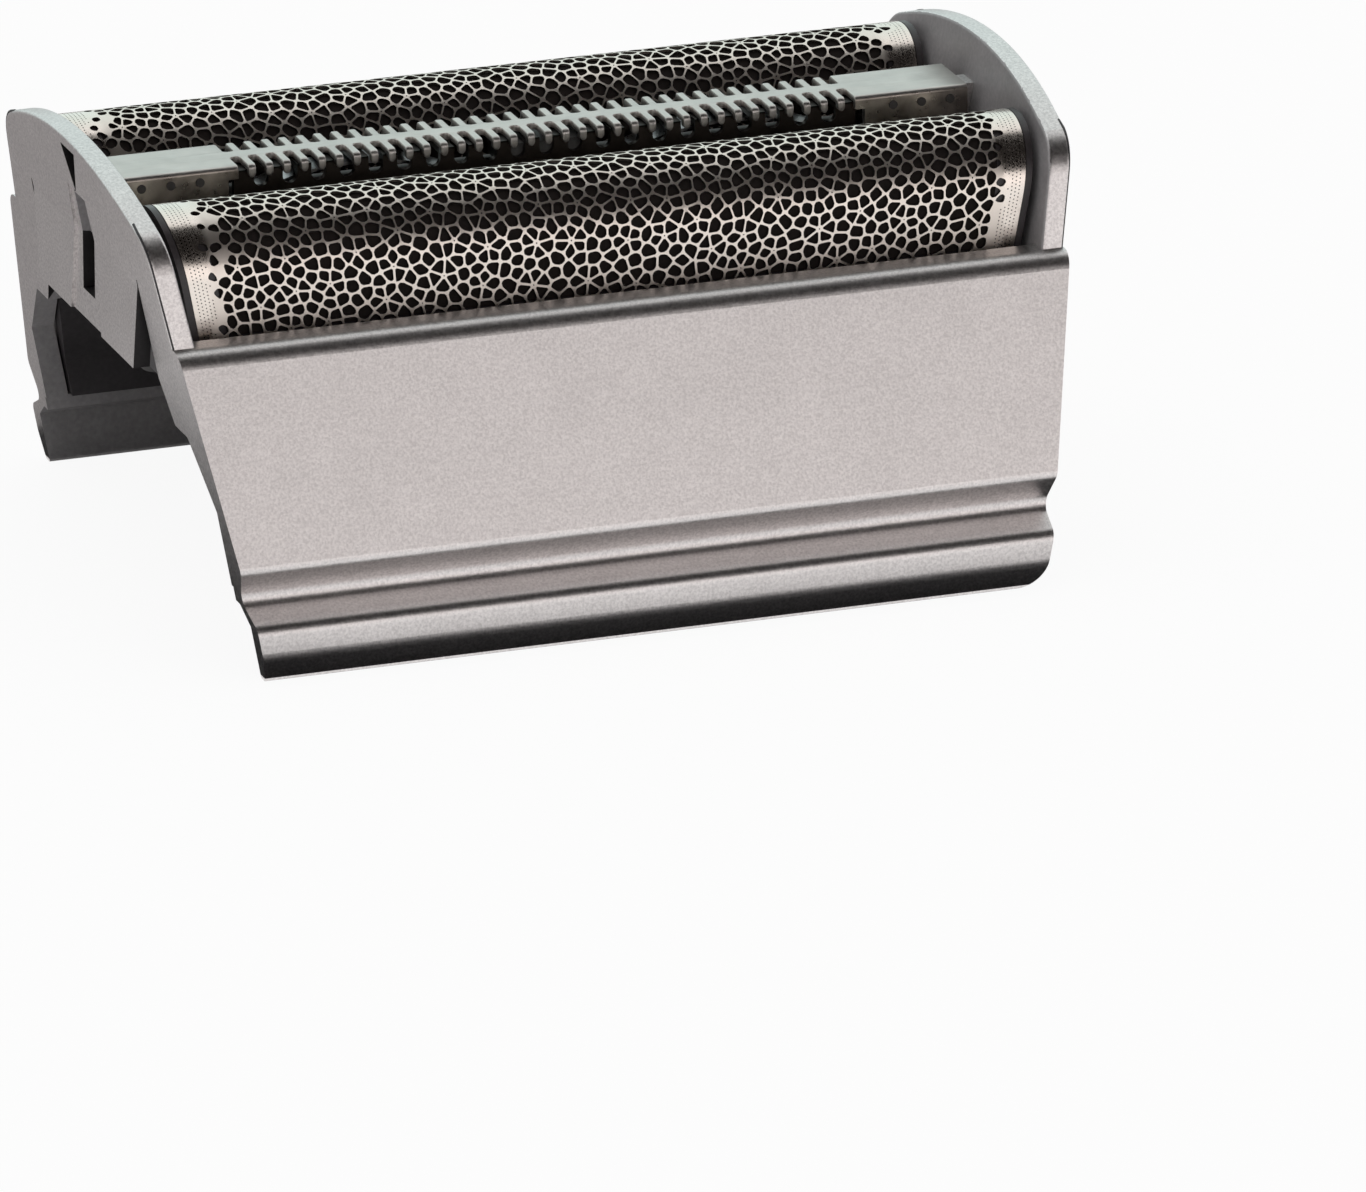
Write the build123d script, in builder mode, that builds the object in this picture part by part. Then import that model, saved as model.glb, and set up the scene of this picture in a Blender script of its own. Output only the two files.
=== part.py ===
from build123d import *
from math import cos, radians, sin, sqrt
import os

# Shaver foil head. X runs along the foils, Y to the back, Z up from the skirts' feet. Millimetres.

# Outer frame: length and ends
roll_span = 52.0  # length at the rolled top of the skirts
roll_height = 17.75  # height of the skirts' rolled top
end_lean = 0.188  # outward lean of both ends for each millimetre of height
end_wall = 1.3  # end wall, measured along the length

# Outer frame: arch of the end walls
arch_height = 25.8
arch_radius = 33.0
shoulder_half = 12.9  # half depth at the corner between crown and flank
shoulder_radius = 2.8
flank_half = 14.2  # half depth where the flanks meet the skirts
rim_edge_radius = 0.2
half_way = 0.5  # point along a rim edge where its direction is read
cross_limit = 0.5  # rim edges that cross the length lean less than this along it

# Outer frame: skirt section
throat_half = 12.9  # half depth of the opening between the two rolls
roll_half = 15.2  # half depth of the roll's outer corner before rounding
roll_radius = 1.2
roll_underside = 16.4
panel_lean = 0.338  # outward lean of the panels towards the feet
skirt_wall = 1.37
groove_top = 6.2
groove_flank = 1.45  # height of the groove's sloping upper side
groove_depth = 0.85
groove_low = 4.1
bead_top = 3.2
bead_reach = 0.6  # how far the bead stands out past the foot
lip_height = 1.55
lip_wall = 0.7
lip_shoulder = 3.0
foot_half = 19.6
foot_width = 0.7
soft_edge = 0.3
groove_edge = 0.6
bead_edge = 0.7
lip_edge = 1.4
foot_edge = 0.15
knee_height = 7.0  # below this the skirt's inner wall stands upright
ridge_top = 4.7  # snap ridge under the liner
ridge_foot = 3.9
ridge_depth = 0.6
foot_corner_radius = 1.8  # right-hand lower corner of both skirts

# Outer frame: legs, latch tongues and windows
leg_foot_half = 16.6
leg_foot_height = 9.0
leg_bend_half = 13.5
leg_inner_half = 11.4
leg_inner_height = 12.4
slit_foot_half = 9.9
slit_foot_height = 14.7
slit_apex_half = 9.45
slit_apex_height = 20.35
slit_apex_width = 0.1
tongue_foot_half = 8.4
tongue_foot_height = 14.9
tongue_root = 0.65  # how far the tongues run up into the wall above the slits
tongue_stand = 0.4  # how far the tongues' upright face stands out past the length of the rolls
tongue_wall = 0.95
channel_depth = 0.2
channel_foot_half = 2.9
channel_top_half = 1.5
channel_top_height = 22.6
window_width = 2.1
window_low = 16.55
window_high = 22.2
window_sill = 19.8  # above this the window is a blind recess
window_recess = 0.45
notch_width = 2.4
notch_drop = 0.7  # from the crown to the wide end of the V-notch
notch_depth = 2.6
notch_recess = 0.95
stop_rib_width = 1.6
stop_rib_drop = 0.4  # below the comb's top
stop_rib_depth = 1.9
stop_rib_gap = 0.3

# Foils and their carriers
foil_offset = 8.5  # distance of each foil's axis from the middle plane
foil_drop = 1.75  # from the crown of the ends to the foils' crest
foil_radius = 3.7
foil_sheet = 0.15
foil_foot = 15.9
foil_end_inset = 2.15  # foil ends inside the outer end planes
carrier_end_inset = 1.75
carrier_plate = 2.05
carrier_gap = 0.03
rail_wall = 0.7
rail_height = 1.5
strip_wall = 0.45
strip_height = 1.1
strip_span = 42.0
hole_pitch = 2.3
hole_count = 20
hole_radius = 0.85
hole_sides = 6
hole_row_angles = (-60, -20, 20, 60)
side_row_share = 0.326  # place of the side rows between the foil's axis and its foot

# Snap hooks of the carriers and end blocks of the inner frame
block_inner = 20.9
block_outer = 23.4
block_low = 12.6
block_high = 14.4
block_half = 14.6
hook_centre = 22.25
hook_wall = 0.7
hook_width = 2.4
hook_reach = 0.6
hook_height = 0.8
float_gap = 0.25  # clearance around everything that floats
liner_gap = 0.08
liner_wall = 1.15
liner_end_gap = 0.15
rib_pitch = 8.0
rib_count = 5
rib_width = 0.9
rib_depth = 0.5
rib_low = 5.6
rib_high = 11.6
divider_half = 3.2  # middle of the bars between foils and trimmer
divider_wall = 1.0
divider_high = 16.8

# Trimmer
comb_drop = 2.1  # from the crown of the ends to the comb's top
comb_half = 2.15
comb_sheet = 0.35
comb_span = 49.8
comb_depth = 3.1
tip_depth = 0.75
comb_edge_radius = 0.3
tooth_span = 37.4
tooth_pitch = 1.02
tooth_count = 36
tooth_gap = 0.57
spine_half = 0.45
blade_gap = 0.06
blade_sheet = 0.35
blade_span = 36.6
blade_depth = 1.64
blade_slot_pitch = 1.67
blade_slot_count = 21
blade_slot_width = 0.85
blade_slot_depth = 1.04
holder_drop = 0.6  # below the comb's foot
holder_depth = 1.4
holder_span = 48.8
holder_fit = 0.02
pad_block_inner = 19.75
stake_radius = 0.25
stake_fit = 0.05
stake_drop = 0.7  # below the comb's top
stake_first = 20.4
stake_pitch = 1.7
stake_count = 3
stake_proud = 0.08
peg_centre = 22.15
peg_radius = 0.75
peg_fit = 0.1
peg_head_radius = 1.05
peg_head_height = 0.55
stroke = 1.0  # travel of the blade each way
driver_half = 2.4
stem_half = 1.9
stem_depth = 2.0
fork_half = 2.6
fork_depth = 3.0
fork_gap = 2.2
fork_crown_high = 17.2
fork_crown_low = 16.4
fork_low = 13.4
leaf_inner = 5.0
leaf_outer = 17.0
leaf_sheet = 0.18
leaf_width = 1.9
coil_radius = 1.05
coil_wire = 0.3
coil_pitch = 1.1

# Sizes that follow
reach = 2 * roll_span
view_margin = end_wall
bead_half = foot_half + bead_reach
groove_half = roll_half + panel_lean * (roll_height - groove_top) - groove_depth
foil_axis_height = arch_height - foil_drop - foil_radius
side_row_height = foil_axis_height - side_row_share * (foil_axis_height - foil_foot)
notch_high = arch_height - notch_drop
notch_low = notch_high - notch_depth
tongue_face = roll_span / 2 + tongue_stand
tongue_bend = roll_height + tongue_stand / end_lean  # height where the tongues turn upright
carrier_radius = foil_radius - foil_sheet - carrier_gap
carrier_foot = foil_foot
hook_top = block_low - float_gap
hook_low = hook_top - hook_height
comb_top = arch_height - comb_drop
comb_foot = comb_top - comb_depth
comb_tip = comb_top - tip_depth
comb_inner_half = comb_half - comb_sheet
blade_half = comb_inner_half - blade_gap
blade_top = comb_top - comb_sheet - blade_gap
blade_foot = blade_top - blade_depth
blade_slot_foot = blade_top - blade_slot_depth
blade_roof = blade_top - blade_sheet
blade_inner_half = blade_half - blade_sheet
holder_low = comb_foot - holder_drop
holder_deck = holder_low + holder_depth
holder_half = comb_inner_half - holder_fit
stake_height = comb_top - stake_drop
stop_rib_high = comb_top - stop_rib_drop
stop_rib_low = stop_rib_high - stop_rib_depth
pad_block_top = comb_top - comb_sheet - holder_fit
peg_head_top = block_low - float_gap


def end_half(height, inset=0.0):
    # half length between the leaning ends at this height
    return roll_span / 2 + end_lean * (height - roll_height) - inset


def panel_half(height):
    # half depth of the skirts' outer face at this height
    return roll_half + panel_lean * (roll_height - height)


def inner_half(height):
    # half depth of the skirts' inner face at this height
    return panel_half(max(height, knee_height)) - skirt_wall


def end_corners(inset, low, high):
    # corners of the front view between the leaning ends, from the lower left one
    return [
        (-end_half(low, inset), low),
        (end_half(low, inset), low),
        (end_half(high, inset), high),
        (-end_half(high, inset), high),
    ]


def beyond_tongues(inset, low, high):
    # front view of all that lies further out than a face this deep in the tongues
    with BuildSketch(Plane.XZ) as view:
        for side in (-1, 1):
            with BuildLine():
                Polyline(
                    (side * (tongue_face - inset), low),
                    (side * (tongue_face - inset), tongue_bend),
                    (side * end_half(high, inset), high),
                    (side * reach, high),
                    (side * reach, low),
                    close=True,
                )
            make_face()
    return view.sketch


def front_view(inset):
    # everything between the leaning ends, seen from the front
    with BuildSketch(Plane.XZ) as view:
        with BuildLine():
            Polyline(end_corners(inset, -view_margin, arch_height + view_margin), close=True)
        make_face()
    return view.sketch


def arch_section(radius, foot):
    # arched section with straight legs, about the foil's own axis
    with BuildSketch(Plane.YZ) as section:
        with BuildLine():
            over = CenterArc((0, foil_axis_height), radius, 0, 180)
            Polyline(over @ 1, (-radius, foot), (radius, foot), over @ 0)
        make_face()
    return section.sketch


def write_piece(piece, name, place=(0, 0, 0)):
    # label a finished piece where it sits and write it to its own file
    placed = piece.moved(Location(place))
    placed.label = name
    export_step(placed, f"parts/{name}.step")


os.makedirs("parts", exist_ok=True)

# Back skirt: rolled top, leaning panel, groove, bead and thin lip
with BuildPart() as skirt:
    section_corners = [
        ((throat_half, roll_height), soft_edge),
        ((roll_half, roll_height), roll_radius),
        ((panel_half(groove_top), groove_top), groove_edge),
        ((groove_half, groove_top - groove_flank), groove_edge),
        ((groove_half, groove_low), bead_edge),
        ((bead_half, bead_top), bead_edge),
        ((bead_half, lip_height), lip_edge),
        ((foot_half, 0), foot_edge),
        ((foot_half - foot_width, 0), foot_edge),
        ((foot_half - foot_width, lip_shoulder), 0),
        ((groove_half - lip_wall, ridge_foot), 0),
        ((inner_half(ridge_foot) - ridge_depth, ridge_foot), 0),
        ((inner_half(ridge_top) - ridge_depth, ridge_top), 0),
        ((inner_half(ridge_top), ridge_top), 0),
        ((inner_half(knee_height), knee_height), 0),
        ((inner_half(roll_underside), roll_underside), 0),
        ((throat_half, roll_underside), 0),
    ]
    with BuildSketch(Plane.YZ):
        with BuildLine():
            FilletPolyline(
                [corner for corner, radius in section_corners],
                radius=[radius for corner, radius in section_corners],
                close=True,
            )
        make_face()
    extrude(amount=reach, both=True)
    with BuildSketch(Plane.XZ):
        with BuildLine():
            FilletPolyline(
                end_corners(0, 0, arch_height),
                radius=[0, foot_corner_radius, 0, 0],
                close=True,
            )
        make_face()
    extrude(amount=reach, both=True, mode=Mode.INTERSECT)

# Latch tongues: flush with the end walls at the top, upright below
with BuildPart() as tongues:
    with BuildSketch(Plane.YZ):
        with BuildLine():
            Polyline(
                (-tongue_foot_half, tongue_foot_height),
                (-slit_apex_half + slit_apex_width / 2, slit_apex_height),
                (-slit_apex_half + slit_apex_width / 2, slit_apex_height + tongue_root),
                (slit_apex_half - slit_apex_width / 2, slit_apex_height + tongue_root),
                (slit_apex_half - slit_apex_width / 2, slit_apex_height),
                (tongue_foot_half, tongue_foot_height),
                close=True,
            )
        make_face()
    extrude(amount=reach, both=True)
    inner_face = tongue_face - tongue_wall
    with BuildSketch(Plane.XZ):
        Rectangle(2 * inner_face, 2 * arch_height)
    extrude(amount=reach, both=True, mode=Mode.SUBTRACT)
    extrude(beyond_tongues(0, 0, arch_height), amount=reach, both=True, mode=Mode.SUBTRACT)

# Tapering lead-in channels that guide a latch to its window
with BuildPart() as channels:
    with BuildSketch(Plane.YZ):
        with BuildLine():
            Polyline(
                (-channel_foot_half, tongue_foot_height - end_wall),
                (channel_foot_half, tongue_foot_height - end_wall),
                (channel_top_half, channel_top_height),
                (-channel_top_half, channel_top_height),
                close=True,
            )
        make_face()
    extrude(amount=reach, both=True)
    extrude(beyond_tongues(channel_depth, 0, arch_height), amount=reach, both=True, mode=Mode.INTERSECT)

# Blind upper parts of the latch windows
with BuildPart() as recesses:
    with BuildSketch(Plane.YZ):
        with Locations((0, (window_sill + window_high) / 2)):
            Rectangle(window_width, window_high - window_sill)
    extrude(amount=reach, both=True)
    extrude(
        beyond_tongues(channel_depth + window_recess, 0, arch_height),
        amount=reach,
        both=True,
        mode=Mode.INTERSECT,
    )

# Outer frame: two arched end walls with latch tongues, joined by the skirts
with BuildPart() as outer_frame:
    shoulder_height = arch_height - arch_radius + sqrt(arch_radius**2 - shoulder_half**2)
    flank_lean = (flank_half - shoulder_half) / (shoulder_height - roll_height)
    flank_foot = roll_height - roll_radius
    leg_corners = [
        (flank_half + flank_lean * roll_radius, flank_foot),
        (panel_half(flank_foot) - skirt_wall / 2, flank_foot),
        (panel_half(knee_height) - skirt_wall / 2, knee_height),
        (panel_half(knee_height) - skirt_wall / 2, ridge_top),
        (leg_foot_half, ridge_top),
        (leg_foot_half, leg_foot_height),
        (leg_bend_half, leg_inner_height),
        (leg_inner_half, leg_inner_height),
        (slit_foot_half, slit_foot_height),
    ]
    with BuildSketch(Plane.YZ) as end_outline:
        with BuildLine():
            crown = ThreePointArc(
                (-shoulder_half, shoulder_height), (0, arch_height), (shoulder_half, shoulder_height)
            )
            Polyline(
                [crown @ 1]
                + leg_corners
                + [(-half, height) for half, height in reversed(leg_corners)]
                + [crown @ 0]
            )
        make_face()
        fillet(
            end_outline.vertices().filter_by(
                lambda corner: abs(corner.Y - shoulder_height) < rim_edge_radius
                and abs(abs(corner.X) - shoulder_half) < rim_edge_radius
            ),
            shoulder_radius,
        )
    extrude(amount=reach, both=True)
    extrude(front_view(0), amount=reach, both=True, mode=Mode.INTERSECT)
    extrude(front_view(end_wall), amount=reach, both=True, mode=Mode.SUBTRACT)
    fillet(
        outer_frame.edges().filter_by(
            lambda edge: edge.bounding_box().max.Z > roll_height + rim_edge_radius
            and abs((edge % half_way).X) < cross_limit
        ),
        rim_edge_radius,
    )

    # room for the tongues, up to the apex of the two slits
    with BuildSketch(Plane.YZ):
        with BuildLine():
            Polyline(
                (-slit_foot_half, slit_foot_height - end_wall),
                (-slit_foot_half, slit_foot_height),
                (-slit_apex_half - slit_apex_width / 2, slit_apex_height),
                (slit_apex_half + slit_apex_width / 2, slit_apex_height),
                (slit_foot_half, slit_foot_height),
                (slit_foot_half, slit_foot_height - end_wall),
                close=True,
            )
        make_face()
    extrude(amount=reach, both=True, mode=Mode.SUBTRACT)

    add(tongues.part)
    add(channels.part, mode=Mode.SUBTRACT)
    add(recesses.part, mode=Mode.SUBTRACT)

    # open lower part of the latch windows
    with BuildSketch(Plane.YZ):
        with Locations((0, (window_low + window_sill) / 2)):
            Rectangle(window_width, window_sill - window_low)
    extrude(amount=reach, both=True, mode=Mode.SUBTRACT)

    # blind V-notches above the windows
    with BuildSketch(Plane.YZ, mode=Mode.PRIVATE) as notch:
        with BuildLine():
            Polyline(
                (-notch_width / 2, notch_high),
                (0, notch_low),
                (notch_width / 2, notch_high),
                close=True,
            )
        make_face()
    with BuildPart(mode=Mode.SUBTRACT):
        extrude(notch.sketch, amount=reach, both=True)
        extrude(front_view(notch_recess), amount=reach, both=True, mode=Mode.SUBTRACT)

    # stop ribs that face the trimmer's ends
    for side in (-1, 1):
        rib_inner = comb_span / 2 + stop_rib_gap
        with BuildSketch(Plane.XZ):
            with BuildLine():
                Polyline(
                    (side * rib_inner, stop_rib_low),
                    (side * end_half(stop_rib_low, end_wall / 2), stop_rib_low),
                    (side * end_half(stop_rib_high, end_wall / 2), stop_rib_high),
                    (side * rib_inner, stop_rib_high),
                    close=True,
                )
            make_face()
        extrude(amount=stop_rib_width / 2, both=True)

    add(skirt.part)
    add(mirror(skirt.part, about=Plane.XZ, mode=Mode.PRIVATE))

write_piece(outer_frame.part, "outer_frame")

# Inner frame: liner walls along both skirts, ribbed inside, tied by two end blocks
with BuildPart() as inner_frame:
    liner_top = roll_underside - liner_gap
    liner_corners = [
        (inner_half(roll_underside) - liner_gap, liner_top),
        (inner_half(knee_height) - liner_gap, knee_height),
        (inner_half(knee_height) - liner_gap, ridge_top + liner_gap),
        (inner_half(knee_height) - liner_gap - liner_wall, ridge_top + liner_gap),
        (inner_half(knee_height) - liner_gap - liner_wall, knee_height),
        (inner_half(roll_underside) - liner_gap - liner_wall, liner_top),
    ]
    for side in (-1, 1):
        with BuildSketch(Plane.YZ):
            with BuildLine():
                Polyline([(side * half, height) for half, height in liner_corners], close=True)
            make_face()
    extrude(amount=reach, both=True)

    # upright ribs on the inside of both walls
    for rib in range(rib_count):
        rib_place = (rib - (rib_count - 1) / 2) * rib_pitch
        for side in (-1, 1):
            with BuildSketch(Plane.YZ.offset(rib_place - rib_width / 2)):
                with BuildLine():
                    rib_root = liner_gap + liner_wall / 2
                    rib_face = liner_gap + liner_wall + rib_depth
                    Polyline(
                        (side * (inner_half(rib_low) - rib_root), rib_low),
                        (side * (inner_half(rib_low) - rib_face), rib_low),
                        (side * (inner_half(knee_height) - rib_face), knee_height),
                        (side * (inner_half(rib_high) - rib_face), rib_high),
                        (side * (inner_half(rib_high) - rib_root), rib_high),
                        (side * (inner_half(knee_height) - rib_root), knee_height),
                        close=True,
                    )
                make_face()
            extrude(amount=rib_width)

    # end blocks with slots for the carriers' hooks and holes for the trimmer's pegs
    for side in (-1, 1):
        with BuildSketch(Plane.XY.offset(block_low)):
            with Locations((side * (block_inner + block_outer) / 2, 0)):
                Rectangle(block_outer - block_inner, 2 * block_half)
            with Locations((side * hook_centre, -foil_offset), (side * hook_centre, foil_offset)):
                Rectangle(hook_wall + 2 * float_gap, hook_width + 2 * float_gap, mode=Mode.SUBTRACT)
            with Locations((side * peg_centre, 0)):
                Circle(peg_radius + peg_fit, mode=Mode.SUBTRACT)
        extrude(amount=block_high - block_low)

    # bars from block to block that part the foils from the trimmer
    with BuildSketch(Plane.XY.offset(block_low)):
        with GridLocations(0, 2 * divider_half, 1, 2):
            Rectangle(block_inner + block_outer, divider_wall)
    extrude(amount=divider_high - block_low)
    extrude(front_view(end_wall + liner_end_gap), amount=reach, both=True, mode=Mode.INTERSECT)

write_piece(inner_frame.part, "inner_frame")

# Foil: thin arched sheet with perforated rows, leaning ends
with BuildPart() as foil:
    extrude(arch_section(foil_radius, foil_foot), amount=reach, both=True)
    extrude(
        arch_section(foil_radius - foil_sheet, foil_foot), amount=reach, both=True, mode=Mode.SUBTRACT
    )
    extrude(front_view(foil_end_inset), amount=reach, both=True, mode=Mode.INTERSECT)
    row_planes = [
        Plane(
            origin=(
                0,
                foil_radius * sin(radians(angle)),
                foil_axis_height + foil_radius * cos(radians(angle)),
            ),
            x_dir=(1, 0, 0),
            z_dir=(0, sin(radians(angle)), cos(radians(angle))),
        )
        for angle in hole_row_angles
    ]
    for side in (-1, 1):
        row_planes.append(
            Plane(origin=(0, side * foil_radius, side_row_height), x_dir=(1, 0, 0), z_dir=(0, side, 0))
        )
    for row_plane in row_planes:
        with BuildSketch(row_plane):
            with GridLocations(hole_pitch, 0, hole_count, 1):
                RegularPolygon(hole_radius, hole_sides)
        extrude(amount=hole_radius, both=True, mode=Mode.SUBTRACT)

# Foil carrier: an end flange, two plug plates inside the foil, side rails and four snap hooks
with BuildPart() as flanges:
    extrude(arch_section(foil_radius, carrier_foot), amount=reach, both=True)
    extrude(front_view(carrier_end_inset), amount=reach, both=True, mode=Mode.INTERSECT)
    extrude(
        front_view(foil_end_inset - carrier_gap), amount=reach, both=True, mode=Mode.SUBTRACT
    )

with BuildPart() as carrier:
    extrude(arch_section(carrier_radius, carrier_foot), amount=reach, both=True)
    extrude(front_view(carrier_end_inset), amount=reach, both=True, mode=Mode.INTERSECT)
    extrude(
        front_view(carrier_end_inset + carrier_plate), amount=reach, both=True, mode=Mode.SUBTRACT
    )
    add(flanges.part)
    with BuildSketch(Plane.XY.offset(carrier_foot)):
        with GridLocations(0, 2 * carrier_radius - rail_wall, 1, 2):
            Rectangle(2 * end_half(carrier_foot, carrier_end_inset + carrier_plate / 2), rail_wall)
    extrude(amount=rail_height)
    for side in (-1, 1):
        with BuildSketch(Plane.XZ):
            with BuildLine():
                hook_outer = hook_centre + hook_wall / 2
                hook_inner = hook_centre - hook_wall / 2
                Polyline(
                    (side * hook_outer, carrier_foot + rail_height),
                    (side * hook_outer, hook_low),
                    (side * hook_inner, hook_low),
                    (side * (hook_inner - hook_reach), hook_top - hook_height / 2),
                    (side * (hook_inner - hook_reach), hook_top),
                    (side * hook_inner, hook_top),
                    (side * hook_inner, carrier_foot + rail_height),
                    close=True,
                )
            make_face()
        extrude(amount=hook_width / 2, both=True)

# Strip that clamps a long edge of a foil
with BuildPart() as strip:
    with BuildSketch(Plane.XY.offset(foil_foot)):
        Rectangle(strip_span, strip_wall)
    extrude(amount=strip_height)

for place, offset in (("front", -foil_offset), ("back", foil_offset)):
    outward = 1 if offset > 0 else -1
    strip_shift = outward * (foil_radius + strip_wall / 2)
    write_piece(foil.part, f"{place}_foil", (0, offset, 0))
    write_piece(carrier.part, f"{place}_foil_carrier", (0, offset, 0))
    write_piece(strip.part, f"{place}_outer_strip", (0, offset + strip_shift, 0))
    write_piece(strip.part, f"{place}_inner_strip", (0, offset - strip_shift, 0))

# Trimmer comb: toothed top with turned-down tips, plain pads with side flanges at both ends
with BuildPart() as trimmer_comb:
    with BuildSketch(Plane.YZ):
        with Locations((0, (comb_top + comb_foot) / 2)):
            Rectangle(2 * comb_half, comb_top - comb_foot)
        with Locations((0, (comb_top - comb_sheet + comb_foot) / 2)):
            Rectangle(2 * comb_inner_half, comb_top - comb_sheet - comb_foot, mode=Mode.SUBTRACT)
    extrude(amount=comb_span / 2, both=True)
    fillet(trimmer_comb.edges().filter_by(Axis.X).group_by(Axis.Z)[-1], comb_edge_radius)
    with BuildSketch(Plane.XZ):
        with Locations((0, (comb_tip + comb_foot) / 2)):
            Rectangle(tooth_span, comb_tip - comb_foot)
    extrude(amount=comb_half, both=True, mode=Mode.SUBTRACT)
    with BuildSketch(Plane.XY.offset(comb_foot)):
        with GridLocations(tooth_pitch, comb_half + spine_half, tooth_count, 2):
            Rectangle(tooth_gap, comb_half - spine_half)
    extrude(amount=comb_top - comb_foot, mode=Mode.SUBTRACT)
    with BuildSketch(Plane.XZ):
        for side in (-1, 1):
            for stake in range(stake_count):
                with Locations((side * (stake_first + stake * stake_pitch), stake_height)):
                    Circle(stake_radius + stake_fit)
    extrude(amount=comb_half, both=True, mode=Mode.SUBTRACT)

write_piece(trimmer_comb.part, "trimmer_comb")

# Trimmer blade: slotted channel that runs under the comb
with BuildPart() as trimmer_blade:
    with BuildSketch(Plane.YZ):
        with Locations((0, (blade_top + blade_foot) / 2)):
            Rectangle(2 * blade_half, blade_top - blade_foot)
        with Locations((0, (blade_roof + blade_foot) / 2)):
            Rectangle(2 * blade_inner_half, blade_roof - blade_foot, mode=Mode.SUBTRACT)
    extrude(amount=blade_span / 2, both=True)
    with BuildSketch(Plane.XZ):
        slot_round = blade_slot_foot + blade_slot_width / 2
        with Locations((0, slot_round)):
            with GridLocations(blade_slot_pitch, 0, blade_slot_count, 1):
                Circle(blade_slot_width / 2)
        with Locations((0, (slot_round + comb_top) / 2)):
            with GridLocations(blade_slot_pitch, 0, blade_slot_count, 1):
                Rectangle(blade_slot_width, comb_top - slot_round)
    extrude(amount=blade_half, both=True, mode=Mode.SUBTRACT)

write_piece(trimmer_blade.part, "trimmer_blade")

# Trimmer holder: bar under the blade, pad blocks and stakes inside the comb's ends, guide pegs below
with BuildPart() as trimmer_holder:
    with BuildSketch(Plane.XY.offset(holder_low)):
        Rectangle(holder_span, 2 * holder_half)
        Rectangle(
            2 * (stem_half + stroke + float_gap), stem_depth + 2 * float_gap, mode=Mode.SUBTRACT
        )
    extrude(amount=holder_deck - holder_low)
    for side in (-1, 1):
        with BuildSketch(Plane.XY.offset(holder_deck)):
            with Locations((side * (pad_block_inner + holder_span / 2) / 2, 0)):
                Rectangle(holder_span / 2 - pad_block_inner, 2 * holder_half)
        extrude(amount=pad_block_top - holder_deck)
        with BuildSketch(Plane.XY.offset(holder_low)):
            with Locations((side * peg_centre, 0)):
                Circle(peg_radius)
        extrude(amount=peg_head_top - peg_head_height / 2 - holder_low)
        with BuildSketch(Plane.XY.offset(peg_head_top)):
            with Locations((side * peg_centre, 0)):
                Circle(peg_head_radius)
        extrude(amount=-peg_head_height)
    with BuildSketch(Plane.XZ):
        for side in (-1, 1):
            for stake in range(stake_count):
                with Locations((side * (stake_first + stake * stake_pitch), stake_height)):
                    Circle(stake_radius)
    extrude(amount=comb_half + stake_proud, both=True)

write_piece(trimmer_holder.part, "trimmer_holder")

# Trimmer driver: block inside the blade, stem through the holder and a fork below
with BuildPart() as trimmer_driver:
    with BuildSketch(Plane.XY.offset(blade_foot)):
        Rectangle(2 * driver_half, 2 * blade_inner_half)
    extrude(amount=blade_roof - blade_foot)
    with BuildSketch(Plane.XY.offset(fork_crown_low)):
        Rectangle(2 * stem_half, stem_depth)
    extrude(amount=blade_foot - fork_crown_low)
    with BuildSketch(Plane.XY.offset(fork_low)):
        Rectangle(2 * fork_half, fork_depth)
    extrude(amount=fork_crown_high - fork_low)
    with BuildSketch(Plane.XY.offset(fork_low)):
        Rectangle(fork_gap, fork_depth)
    extrude(amount=fork_crown_low - fork_low, mode=Mode.SUBTRACT)

write_piece(trimmer_driver.part, "trimmer_driver")

# Bowed leaf springs on the holder, under the blade's roof
for name, side in (("left", -1), ("right", 1)):
    with BuildPart() as blade_spring:
        leaf_middle = side * (leaf_inner + leaf_outer) / 2
        leaf_crest = blade_roof - 2 * blade_gap
        with BuildSketch(Plane.XZ):
            with BuildLine():
                under = ThreePointArc(
                    (side * leaf_inner, holder_deck),
                    (leaf_middle, leaf_crest - leaf_sheet),
                    (side * leaf_outer, holder_deck),
                )
                over = ThreePointArc(
                    (side * leaf_inner, holder_deck + leaf_sheet),
                    (leaf_middle, leaf_crest),
                    (side * leaf_outer, holder_deck + leaf_sheet),
                )
                Line(under @ 0, over @ 0)
                Line(under @ 1, over @ 1)
            make_face()
        extrude(amount=leaf_width / 2, both=True)
    write_piece(blade_spring.part, f"{name}_blade_spring")

# Coil springs around the guide pegs, between the end blocks and the holder
for name, side in (("left", -1), ("right", 1)):
    with BuildPart() as lift_spring:
        coil_low = block_high + coil_wire / 2 + blade_gap
        coil_high = holder_low - coil_wire / 2 - blade_gap
        with BuildLine():
            coil = Helix(
                coil_pitch, coil_high - coil_low, coil_radius, center=(side * peg_centre, 0, coil_low)
            )
        with BuildSketch(Plane(origin=coil @ 0, z_dir=coil % 0)):
            Circle(coil_wire / 2)
        sweep(is_frenet=True)
    write_piece(lift_spring.part, f"{name}_lift_spring")
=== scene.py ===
import bmesh
import bpy
import math
import random
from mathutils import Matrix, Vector
from mathutils.geometry import delaunay_2d_cdt


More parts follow.
